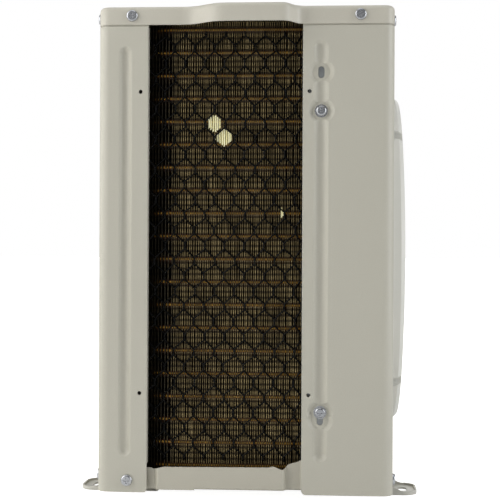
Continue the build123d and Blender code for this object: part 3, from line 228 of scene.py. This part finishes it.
def clear(name, rgb, rough=0.06, alpha=0.35):
    m = Mat(name)
    c = lin(rgb)
    rv = m.remap(m.noise(55.0, 4.0), rough, rough + 0.10, 0.35, 0.75)
    n = m.bump(m.noise(300.0, 2.0), 0.03, 0.0002)
    col = m.ramp(m.noise(9.0, 3.0), [(0.3, scaled(c, 0.93)), (0.7, c)])
    return m.set(color=col, rough=rv, normal=n, Alpha=alpha, Coat_Weight=0.6, Coat_Roughness=0.05)


PANEL = (196, 193, 180)
MATS = {
    "panel_paint": coated("panel_paint", PANEL, rough=0.40, peel=0.12, var=0.025, grime=0.05, bevel=0.0012),
    "base_paint": coated("base_paint", (193, 189, 175), rough=0.42, peel=0.12, var=0.03, grime=0.12, bevel=0.0010),
    "foot_steel": coated("foot_steel", (206, 204, 195), rough=0.40, peel=0.12, var=0.03, grime=0.15, bevel=0.0010),
    "grille_plastic": plastic("grille_plastic", (224, 223, 216), rough=0.42, grain=0.10, var=0.02),
    "duct_plastic": plastic("duct_plastic", (150, 150, 146), rough=0.50),
    "fan_plastic": plastic("fan_plastic", (86, 88, 92), rough=0.42),
    "shaft_steel": metal("shaft_steel", (170, 170, 170), rough=0.25, brushed=(1, 30, 1)),
    "motor_case": coated("motor_case", (36, 36, 38), rough=0.45, peel=0.15, var=0.10, grime=0.25),
    "galvanised": metal("galvanised", (168, 171, 172), rough=0.42, var=0.18, tarnish=(140, 143, 144), amount=0.6),
    "fin_aluminium": metal("fin_aluminium", (150, 142, 116), rough=0.42, var=0.20, tarnish=(70, 60, 38), amount=0.85, brushed=(1, 1, 12)),
    "copper": metal("copper", (206, 150, 84), rough=0.26, var=0.14, tarnish=(128, 66, 34), amount=0.65),
    "net_plastic": plastic("net_plastic", (2, 2, 2), rough=0.20, grain=0.03, var=0.2, bevel=0.0001),
    "screw_steel": metal("screw_steel", (196, 198, 202), rough=0.22, var=0.10, tarnish=(150, 152, 158), amount=0.5, bevel=0.0003),
    "compressor_paint": coated("compressor_paint", (24, 24, 25), rough=0.38, peel=0.2, var=0.10, grime=0.20),
    "grommet_rubber": plastic("grommet_rubber", (26, 26, 26), rough=0.75, grain=0.3),
    "valve_brass": metal("valve_brass", (196, 160, 92), rough=0.32, tarnish=(140, 104, 56), amount=0.5),
    "exchanger_plastic": plastic("exchanger_plastic", (52, 54, 58), rough=0.32, coat=0.2),
    "titanium": metal("titanium", (150, 146, 140), rough=0.35),
    "union_plastic": plastic("union_plastic", (42, 43, 46), rough=0.30, coat=0.25),
    "tail_plastic": plastic("tail_plastic", (214, 213, 208), rough=0.32, coat=0.2, var=0.03),
    "switch_plastic": plastic("switch_plastic", (46, 46, 48), rough=0.45),
    "gauge_steel": metal("gauge_steel", (190, 190, 190), rough=0.16, var=0.05),
    "dial_white": plastic("dial_white", (232, 231, 226), rough=0.5, var=0.02),
    "needle_black": plastic("needle_black", (18, 18, 18), rough=0.35),
    "lens_clear": clear("lens_clear", (236, 240, 242), alpha=0.16),
    "gland_plastic": plastic("gland_plastic", (30, 30, 31), rough=0.42),
    "board_green": plastic("board_green", (28, 96, 52), rough=0.35, coat=0.4),
    "control_plastic": plastic("control_plastic", (62, 64, 67), rough=0.40),
    "display_black": plastic("display_black", (14, 18, 20), rough=0.10, grain=0.02, coat=0.8),
    "key_plastic": plastic("key_plastic", (176, 176, 172), rough=0.55),
    "flap_clear": clear("flap_clear", (120, 128, 134), alpha=0.42),
}
LID_PAINT = coated("lid_paint", (201, 197, 184), rough=0.38, peel=0.12, var=0.02, grime=0.05, bevel=0.0014)
wire = Mat("net_wire")
wire.set(color=wire.ramp(wire.noise(60.0, 4.0), [(0.3, lin((1, 1, 1))), (0.7, lin((5, 5, 4)))]),
         rough=wire.remap(wire.noise(300.0, 3.0), 0.14, 0.24), normal=wire.bump(wire.noise(900.0, 2.0), 0.05, 0.0001), Specular_IOR_Level=0.14)
MATS["net_plastic"] = wire.m
slot_of = {s["node"]: s["material_slot"] for s in frame["record"]["subparts"]}
for name, o in nodes_by.items():
    mat = LID_PAINT if name == "top_lid" else MATS[slot_of[name]]
    if not o.material_slots:
        o.data.materials.append(mat)
    for s in o.material_slots:
        s.material = mat


# ------------------------------------------------------------------ mesh helpers
def piece(name, verts, faces, mat, body="cabinet", smooth=True):
    me = bpy.data.meshes.new(name)
    me.from_pydata(verts, [], faces)
    me.validate()
    if smooth:
        me.polygons.foreach_set("use_smooth", [True] * len(me.polygons))
    me.materials.append(mat)
    o = bpy.data.objects.new(name, me)
    scene.collection.objects.link(o)
    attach(o, body)
    return o


def tube_into(verts, faces, path, r, sides=6, caps=True, wob=None):
    """Sweeps a ring along path (list of Vector) with a parallel-transported frame."""
    n = len(path)
    base = len(verts)
    t0 = (path[1] - path[0]).normalized()
    ref = Vector((0, 0, 1)) if abs(t0.z) < 0.9 else Vector((1, 0, 0))
    u = t0.cross(ref).normalized()
    for i in range(n):
        if i == 0:
            t = path[1] - path[0]
        elif i == n - 1:
            t = path[-1] - path[-2]
        else:
            t = path[i + 1] - path[i - 1]
        t.normalize()
        u = (u - t * u.dot(t)).normalized()
        v = t.cross(u)
        rr = r[i] if isinstance(r, (list, tuple)) else r
        for k in range(sides):
            a = 2 * math.pi * k / sides
            verts.append(path[i] + (u * math.cos(a) + v * math.sin(a)) * rr)
    for i in range(n - 1):
        for k in range(sides):
            a, b = base + i * sides + k, base + i * sides + (k + 1) % sides
            faces.append((a, b, b + sides, a + sides))
    if caps:
        faces.append(tuple(base + k for k in reversed(range(sides))))
        faces.append(tuple(base + (n - 1) * sides + k for k in range(sides)))


# ------------------------------------------------------------------ evaporator: real fins and tubes
fp0, fp1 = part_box("evaporator_fin_pack")
XO, YO = fp0.x, fp1.y                  # outer faces of the left and rear legs
YF, XR = fp0.y, fp1.x                  # free ends
Z0, Z1 = fp0.z, fp1.z
RB = 0.061
BX, BY = XO + RB, YO - RB
DEPTH = 0.044


def along(s, d):
    """Point and direction at arc position s (measured on the outer face from the front end), depth d inward."""
    l1 = BY - YF
    la = RB * math.pi / 2
    if s <= l1:
        return Vector((XO + d, YF + s, 0)), Vector((0, 1, 0))
    if s <= l1 + la:
        a = (s - l1) / RB
        r = RB - d
        return Vector((BX - r * math.cos(a), BY + r * math.sin(a), 0)), Vector((math.sin(a), math.cos(a), 0))
    return Vector((BX + (s - l1 - la), YO - d, 0)), Vector((1, 0, 0))


L1, LA = BY - YF, RB * math.pi / 2
L_TOTAL = L1 + LA + (XR - BX)
TZ_OUT = [0.0354 + 0.0254 * i for i in range(20)]
TZ_IN = [0.0481 + 0.0254 * i for i in range(18)]

ROW0, HALF = 0.0354, 0.0127            # tube rows of both depths fall on this raster


def row_distance(m):
    """Height above the nearest tube centre line, in metres."""
    sep = m.t.nodes.new("ShaderNodeSeparateXYZ")
    m.link(m.coord(), sep.inputs[0])

    def op(kind, a, b=None):
        n = m.t.nodes.new("ShaderNodeMath")
        n.operation = kind
        for k, v in enumerate((a, b)):
            if v is None:
                continue
            if isinstance(v, bpy.types.NodeSocket):
                m.link(v, n.inputs[k])
            else:
                n.inputs[k].default_value = v
        return n.outputs[0]
    u = op("DIVIDE", op("SUBTRACT", sep.outputs["Z"], ROW0), HALF)
    fr = op("SUBTRACT", u, op("ROUND", u))
    return op("MULTIPLY", fr, HALF), op


def fin_material(name, light, dark, rough, dash):
    m = Mat(name)
    streak = m.noise(520.0, 3.0, 0.6, (1, 1, 0.012))
    col = m.ramp(streak, [(0.32, lin(dark)), (0.50, lin([(a + b) / 2 for a, b in zip(light, dark)])), (0.66, lin(light))])
    patch = m.noise(26.0, 4.0, 0.6, (1, 1, 0.6))
    col = m.mix(m.remap(patch, 0.0, 0.55, 0.45, 0.68), col, lin([v * 0.6 for v in dark]))
    h, op = row_distance(m)
    zs = m.t.nodes.new("ShaderNodeSeparateXYZ")
    m.link(m.coord(), zs.inputs[0])
    h0 = op("SUBTRACT", zs.outputs["Z"], ROW0)
    # dark rows 3 mm above and below each tube line: painted shade
    off = op("ABSOLUTE", op("SUBTRACT", op("ABSOLUTE", h), 0.0030))
    row_shade = m.remap(off, dash, 0.0, 0.0007, 0.0018)
    col = m.mix(row_shade, col, lin((34, 22, 13)))
    # the hems in front of each gold tube line are darkened: painted shade that breaks the line into dashes
    u2 = op("DIVIDE", op("ADD", h0, 0.0), 0.0254)
    h2 = op("ABSOLUTE", op("SUBTRACT", op("MULTIPLY", op("SUBTRACT", u2, op("ROUND", u2)), 0.0254), 0.0010))
    col = m.mix(m.remap(h2, 0.72, 0.0, 0.0009, 0.0016), col, lin((40, 27, 13)))
    # the outside of the bend is made dark: painted shade where the coil turns away from the light inside the
    # casing's shadow
    sep = m.t.nodes.new("ShaderNodeSeparateXYZ")
    m.link(m.coord(), sep.inputs[0])
    bend_shade = op("MULTIPLY", m.remap(sep.outputs["Y"], 0.0, 0.90, 0.070, 0.090), m.remap(sep.outputs["X"], 1.0, 0.0, -0.335, -0.305))
    col = m.mix(bend_shade, col, lin((30, 27, 20)))
    rv = m.remap(m.noise(240.0, 3.0), rough - 0.08, rough + 0.12, 0.3, 0.7)
    n = m.bump(m.noise(900.0, 3.0, 0.6, (1, 1, 0.2)), 0.15, 0.0002)
    return m.set(color=col, rough=rv, metal=0.55, normal=n)


# the deeper fin faces use a darker copy of the fin colours: painted shade
FIN_EDGE = fin_material("fin_edge", (184, 164, 118), (116, 100, 64), 0.45, 0.80)
FIN_BODY_SHADED = fin_material("fin_body_shaded", (164, 142, 94), (88, 74, 46), 0.50, 0.85)
# the pushed-over fins are bright cream with a faint emission: painted glint and glow
bent = Mat("fin_bent_glint")
bent_glint_col = bent.ramp(bent.noise(700.0, 3.0, 0.6, (1, 1, 0.03)), [(0.35, lin((222, 212, 150))), (0.60, lin((255, 252, 214)))])
bent.set(color=bent_glint_col, rough=bent.remap(bent.noise(200.0, 3.0), 0.30, 0.50), metal=0.0, Emission_Color=bent_glint_col, Emission_Strength=0.16,
         normal=bent.bump(bent.noise(600.0, 2.0), 0.15, 0.0002))
FIN_BENT_GLINT = bent.m

# small places where fins have been pushed over through the netting; they carry the painted glint: y, z, half
# width, half height
KNOCKS = [(0.0366, 0.4147, 0.0080, 0.0114), (0.0268, 0.3990, 0.0092, 0.0108), (-0.0385, 0.3165, 0.0018, 0.0085)]


def knocked(y, z):
    for ky, kz, hw, hh in KNOCKS:
        dy, dz = abs(y - ky) / hw, abs(z - kz) / hh
        if dy < 1 and dz < 1 - 0.62 * dy:
            return min(1.0, (1 - dy) * 6.0 + 0.3, (1 - 0.62 * dy - dz) * 5.0 + 0.3)
    return 0.0


fins_v, fins_f, fins_m = [], [], []
PITCH = 0.00245
stations = []
s = 0.0006
while s < L_TOTAL - 0.0004:
    stations.append(s)
    # fins fan out round the bend: pitch is kept at the tube line
    s += PITCH * (RB / (RB - 0.022) if L1 < s < L1 + LA else 1.0)
DS = [0.0, 0.0022, 0.0045, 0.0110, 0.0220, 0.0330, 0.0415, DEPTH]
TH = [0.00046, 0.00024, 0.00012, 0.00010, 0.00010, 0.00010, 0.00010, 0.00022]     # hemmed edges are thicker
CORR = [0.0, 0.0, 0.0002, 0.0010, -0.0010, 0.0010, 0.0, 0.0]                   # the fins are corrugated in depth
for fi, s in enumerate(stations):
    ph1, ph2 = rng.random() * 6.28, rng.random() * 6.28
    amp = 0.00014 + 0.00022 * rng.random()
    lean = rng.uniform(-0.00022, 0.00022)
    base = len(fins_v)
    y_here = along(s, 0.0)[0].y
    near = s < L1 and any(abs(y_here - k[0]) < k[2] + 0.003 for k in KNOCKS)
    NZ = 280 if near else 56
    rows = [Z0 + (Z1 - Z0) * i / NZ for i in range(NZ + 1)]
    pts = [along(min(max(s, 0.0), L_TOTAL), d) for d in DS]
    hit = []
    for z in rows:
        w = amp * math.sin(z * 38 + ph1) + 0.00010 * math.sin(z * 131 + ph2) + lean
        kn = knocked(y_here, z) if near else 0.0
        hit.append(kn)
        for j, d in enumerate(DS):
            p, t = pts[j]
            fade = 1.0 - 0.8 * min(d / 0.012, 1.0)
            push = 0.0
            if kn:
                push = -kn * (0.0016, 0.0005, 0.0, 0.0, 0.0, 0.0, 0.0, 0.0)[j]
            q = p + t * (w * fade + push + CORR[j])
            fins_v.append(Vector((q.x, q.y, z)) + t * TH[j])
            fins_v.append(Vector((q.x, q.y, z)) - t * TH[j])
    nd = len(DS)

    def vid(r, j, side):
        return base + (r * nd + j) * 2 + side
    for r in range(NZ):
        k = 2 if (hit[r] > 0.2 and hit[r + 1] > 0.2) else 0
        for j in range(nd - 1):
            mi = k if (k and j < 2) else (0 if j < 2 else 1)
            fins_f.append((vid(r, j, 0), vid(r, j + 1, 0), vid(r + 1, j + 1, 0), vid(r + 1, j, 0)))
            fins_f.append((vid(r, j, 1), vid(r + 1, j, 1), vid(r + 1, j + 1, 1), vid(r, j + 1, 1)))
            fins_m += [mi, mi]
        fins_f.append((vid(r, 0, 1), vid(r, 0, 0), vid(r + 1, 0, 0), vid(r + 1, 0, 1)))
        fins_f.append((vid(r, nd - 1, 0), vid(r, nd - 1, 1), vid(r + 1, nd - 1, 1), vid(r + 1, nd - 1, 0)))
        fins_m += [k, 1]
    for r in (0, NZ):
        for j in range(nd - 1):
            q = (vid(r, j, 1), vid(r, j + 1, 1), vid(r, j + 1, 0), vid(r, j, 0))
            fins_f.append(q if r == 0 else q[::-1])
            fins_m.append(1)

fins = piece("coil_fins", fins_v, fins_f, FIN_EDGE, smooth=False)
fins.data.materials.append(FIN_BODY_SHADED)
fins.data.materials.append(FIN_BENT_GLINT)
fins.data.polygons.foreach_set("material_index", fins_m)
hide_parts("evaporator_fin_pack")

tube_m = Mat("tube_copper_painted_light")
th_, op_ = row_distance(tube_m)
# copper colour by height about each tube row: gold painted highlight just above the centre line, dark red-brown
# painted shade above and below
tube_lit_tarnish_col = tube_m.ramp(tube_m.remap(th_, 0.0, 1.0, -0.0048, 0.0048), [
    (0.00, lin((30, 18, 11))), (0.40, lin((50, 26, 16))), (0.47, lin((120, 56, 24))), (0.53, lin((250, 186, 74))),
    (0.665, lin((255, 206, 96))), (0.73, lin((120, 54, 26))), (0.85, lin((44, 22, 14)))])
# random darker patches: tarnish
tube_lit_tarnish_col = tube_m.mix(tube_m.remap(tube_m.noise(30.0, 5.0, 0.65), 0.0, 0.55, 0.45, 0.70), tube_lit_tarnish_col, lin((70, 40, 22)))
# the faint emission is a painted glow standing in for bounce light
tube_m.set(color=tube_lit_tarnish_col, Emission_Color=tube_lit_tarnish_col, Emission_Strength=0.045, rough=tube_m.remap(tube_m.noise(160.0, 4.0), 0.26, 0.46), metal=0.15,
           normal=tube_m.bump(tube_m.noise(700.0, 3.0), 0.12, 0.0002))

tv, tf = [], []
for zs, d in ((TZ_OUT, 0.011), (TZ_IN, 0.033)):
    for z in zs:
        path = []
        ss = [0.0, L1 * 0.5, L1] + [L1 + LA * k / 14 for k in range(1, 15)] + [L1 + LA + (XR - BX) * 0.5, L_TOTAL]
        for s in ss:
            p, t = along(s, d)
            path.append(Vector((p.x, p.y, z)))
        tube_into(tv, tf, path, 0.00476, sides=20)
tubes = piece("coil_tubes", tv, tf, tube_m.m)

# ------------------------------------------------------------------ hexagonal netting
nb0, nb1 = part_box("coil_guard_net")
NET_OUT = 0.0019        # centre of the strands, outside the coil face


def net_point(s, off=0.0):
    """Arc position s on the net surface (0 at its front end); off is extra distance outward."""
    rr = RB + NET_OUT + off
    l1 = BY - nb0.y
    la = rr * math.pi / 2
    la0 = (RB + NET_OUT) * math.pi / 2
    if s <= l1:
        return Vector((XO - NET_OUT - off, nb0.y + s, 0))
    if s <= l1 + la0:
        a = (s - l1) / (RB + NET_OUT)
        return Vector((BX - rr * math.cos(a), BY + rr * math.sin(a), 0))
    return Vector((BX + (s - l1 - la0), YO + NET_OUT + off, 0))


NET_LEN = (BY - nb0.y) + (RB + NET_OUT) * math.pi / 2 + (nb1.x - BX)
CW, RH, VS = 0.0221, 0.01675, 0.0056     # cell width, row pitch, upright side
WR = 0.00092
nv, nf = [], []
z_lo, z_hi = nb0.z + 0.001, nb1.z - 0.001
n_rows = int((z_hi - z_lo) / RH) + 3
PHASE = 0.0132
i = -1
while True:
    ybase = i * CW / 2 + PHASE
    if ybase > NET_LEN + CW / 2:
        break
    path, radii = [], []
    sgn0 = 1 if i % 2 else -1
    for r in range(-1, n_rows):
        zc = z_lo + 0.0020 + r * RH
        side = sgn0 if (r % 2) else -sgn0
        col = ybase + side * CW / 4
        jx = 0.0006 * math.sin(i * 12.9 + r * 4.1)
        jz = 0.0005 * math.sin(i * 3.7 + r * 9.2)
        for k, (dz, tw) in enumerate(((-VS / 2 - 0.0008, 0.55), (-VS / 4, 0.95), (0.0, 0.0), (VS / 4, -0.95), (VS / 2 + 0.0008, -0.55))):
            s = col - side * 0.00036 * (tw if k != 2 else 0.0) - (side * 0.00045 if k in (0, 4) else 0.0) + jx
            out = 0.0004 * (1 if (k < 2) == (side > 0) else -1) if k in (1, 2, 3) else 0.0
            z = zc + dz + jz
            path.append((s, z, out))
    pts = []
    for s, z, out in path:
        s = min(max(s, 0.0004), NET_LEN - 0.0004)
        if z_lo <= z <= z_hi:
            p = net_point(s, out)
            pts.append(Vector((p.x, p.y, z)))
    if len(pts) > 3:
        # smooth with Catmull-Rom between the points
        sm = []
        for a in range(len(pts) - 1):
            p0, p1, p2, p3 = pts[max(a - 1, 0)], pts[a], pts[a + 1], pts[min(a + 2, len(pts) - 1)]
            segs = 2 if (p2 - p1).length < 0.004 else 4
            for q in range(segs):
                t = q / segs
                sm.append(0.5 * ((2 * p1) + (p2 - p0) * t + (2 * p0 - 5 * p1 + 4 * p2 - p3) * t * t + (3 * p1 - p0 - 3 * p2 + p3) * t ** 3))
        sm.append(pts[-1])
        tube_into(nv, nf, sm, WR, sides=7)
    i += 1
net = piece("guard_netting", nv, nf, MATS["net_plastic"])
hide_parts("coil_guard_net")

# ------------------------------------------------------------------ stage: floor, lights, camera
fm = Mat("floor_white")
fcol = fm.ramp(fm.noise(2.0, 3.0), [(0.3, (0.90, 0.90, 0.895, 1)), (0.7, (0.93, 0.93, 0.925, 1))])
fm.set(color=fcol, rough=0.6, normal=fm.bump(fm.noise(80.0, 3.0), 0.02, 0.0005),
       Emission_Color=(1, 1, 1, 1), Emission_Strength=0.10)
flp = fm.t.nodes.new("ShaderNodeLightPath")
fln = fm.t.nodes.new("ShaderNodeVectorMath")
fln.operation = "LENGTH"
fm.link(fm.coord(), fln.inputs[0])
fmx = fm.t.nodes.new("ShaderNodeMath")
fmx.operation = "MULTIPLY"
fm.link(fm.remap(fln.outputs["Value"], 0.93, 1.10, 0.6, 3.2), fmx.inputs[0])
fm.link(fm.remap(flp.outputs["Is Camera Ray"], 0.05, 1.0), fmx.inputs[1])
fm.link(fmx.outputs[0], fm.b.inputs["Emission Strength"])
bm = bmesh.new()
for x, y in ((-40, -40), (40, -40), (40, 40), (-40, 40)):
    bm.verts.new((x, y, -0.0005))
bm.faces.new(bm.verts)
fme = bpy.data.meshes.new("floor")
bm.to_mesh(fme)
bm.free()
fme.materials.append(fm.m)
floor = bpy.data.objects.new("floor", fme)
scene.collection.objects.link(floor)


def area(name, loc, target, size, power, color=(1, 1, 1)):
    d = bpy.data.lights.new(name, "AREA")
    d.shape = "RECTANGLE"
    d.size, d.size_y = size
    d.energy = power
    d.color = color
    o = bpy.data.objects.new(name, d)
    o.location = loc
    o.rotation_euler = (Vector(target) - Vector(loc)).to_track_quat("-Z", "Y").to_euler()
    scene.collection.objects.link(o)
    return o


area("soft_left", (-1.05, 1.35, 0.90), (-0.36, 0.10, 0.30), (0.9, 1.5), 11.5, (1.0, 0.99, 0.965))
area("soft_left_near", (-1.65, 1.15, 0.80), (-0.38, 0.08, 0.28), (0.8, 1.4), 3.2, (1.0, 0.99, 0.965))
area("soft_rear", (0.10, 2.2, 0.90), (0.0, 0.16, 0.28), (1.5, 1.6), 14, (1.0, 0.99, 0.97))
area("soft_right", (-0.80, -2.1, 0.9), (-0.3, 0.0, 0.28), (1.3, 1.8), 23, (0.97, 0.985, 1.0))
area("soft_top", (-0.4, 0.1, 2.4), (-0.2, 0.0, 0.3), (2.2, 2.2), 15, (1.0, 1.0, 1.0))
area("soft_front", (-3.0, 0.6, 1.6), (-0.39, 0.0, 0.30), (1.6, 1.6), 1.7, (1.0, 0.985, 0.96))
area("soft_far", (2.6, -0.2, 1.1), (0.39, 0.0, 0.30), (1.6, 1.6), 13, (1.0, 0.99, 0.97))

w = bpy.data.worlds.new("studio")
scene.world = w
w.use_nodes = True
wt = w.node_tree
for n in list(wt.nodes):
    wt.nodes.remove(n)
wo = wt.nodes.new("ShaderNodeOutputWorld")
bg = wt.nodes.new("ShaderNodeBackground")
bg.inputs["Color"].default_value = (1, 1, 1, 1)
bg.inputs["Strength"].default_value = 1.0
bg2 = wt.nodes.new("ShaderNodeBackground")
bg2.inputs["Color"].default_value = (0.97, 0.985, 1.0, 1)
bg2.inputs["Strength"].default_value = 0.23
lp = wt.nodes.new("ShaderNodeLightPath")
mx = wt.nodes.new("ShaderNodeMixShader")
wt.links.new(lp.outputs["Is Camera Ray"], mx.inputs["Fac"])
wt.links.new(bg2.outputs[0], mx.inputs[1])
wt.links.new(bg.outputs[0], mx.inputs[2])
wt.links.new(mx.outputs[0], wo.inputs["Surface"])

cam_d = bpy.data.cameras.new("camera")
cam = bpy.data.objects.new("camera", cam_d)
scene.collection.objects.link(cam)
scene.camera = cam
cam_d.sensor_width = 36.0
cam_d.lens = 1203.8 * 36.0 / 500.0
cam_d.clip_start, cam_d.clip_end = 0.05, 60.0
PSI, RHO = 0.0638, 0.0046
dirv = Vector((math.cos(PSI), math.sin(PSI), 0))
right = Vector((math.sin(PSI), -math.cos(PSI), 0))
up = Vector((0, 0, 1))
r2 = right * math.cos(RHO) + up * math.sin(RHO)
u2 = up * math.cos(RHO) - right * math.sin(RHO)
mat = Matrix(((r2.x, u2.x, -dirv.x, -0.390 - 1.300), (r2.y, u2.y, -dirv.y, -0.08875), (r2.z, u2.z, -dirv.z, 0.27527), (0, 0, 0, 1)))
cam.matrix_world = mat
scene.view_settings.view_transform = "Standard"
scene.view_settings.look = "None"
